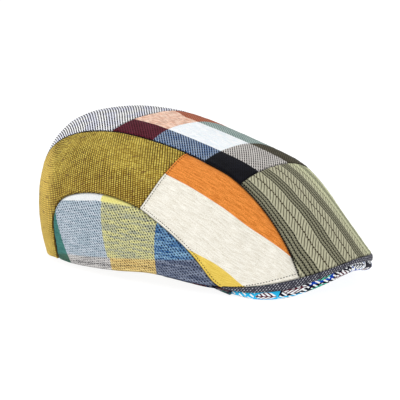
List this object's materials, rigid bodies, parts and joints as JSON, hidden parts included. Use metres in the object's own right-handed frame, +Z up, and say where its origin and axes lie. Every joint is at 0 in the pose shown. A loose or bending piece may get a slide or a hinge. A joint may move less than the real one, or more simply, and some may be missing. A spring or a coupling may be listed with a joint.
{
  "type": "duckbill cap",
  "caption": "Flat patchwork cap whose rounded crown runs straight into a long curved peak, hollow for a head, with a bound peak edge and a printed underside.",
  "frame": {"origin": "below the middle of the cap's box, on the surface it rests on", "axes": "+Z up, the peak points along -Y, +X to the wearer's left"},
  "size_m": [0.1734, 0.2698, 0.1067],
  "materials": {
    "houndstooth_cloth": "pale lavender and dark grey houndstooth weave",
    "check_cloth": "woven squares of burgundy, salmon, rust, blue, ice white, grey green, navy, grey and olive",
    "sage_stripe_cloth": "sage cloth with dark ladder stripes and herringbone",
    "mustard_cloth": "coarse mustard weave with dark brown flecks",
    "plaid_cloth": "soft plaid of light blue, green yellow, royal blue, teal, grey mauve and tan",
    "colour_block_cloth": "slubbed linen in cream, orange and yellow blocks",
    "dark_twill_binding": "dark blue grey twill",
    "printed_cotton": null
  },
  "bodies": {
    "root": {"top_back_panel": "houndstooth_cloth", "top_check_panel": "check_cloth", "peak_top_panel": "sage_stripe_cloth", "side_panel_right": "mustard_cloth", "side_panel_left": "mustard_cloth", "lower_side_panel_right": "plaid_cloth", "lower_side_panel_left": "plaid_cloth", "front_side_panel_right": "colour_block_cloth", "front_side_panel_left": "colour_block_cloth", "peak_binding": "dark_twill_binding", "peak_underside": "printed_cotton"}
  },
  "joints": []
}
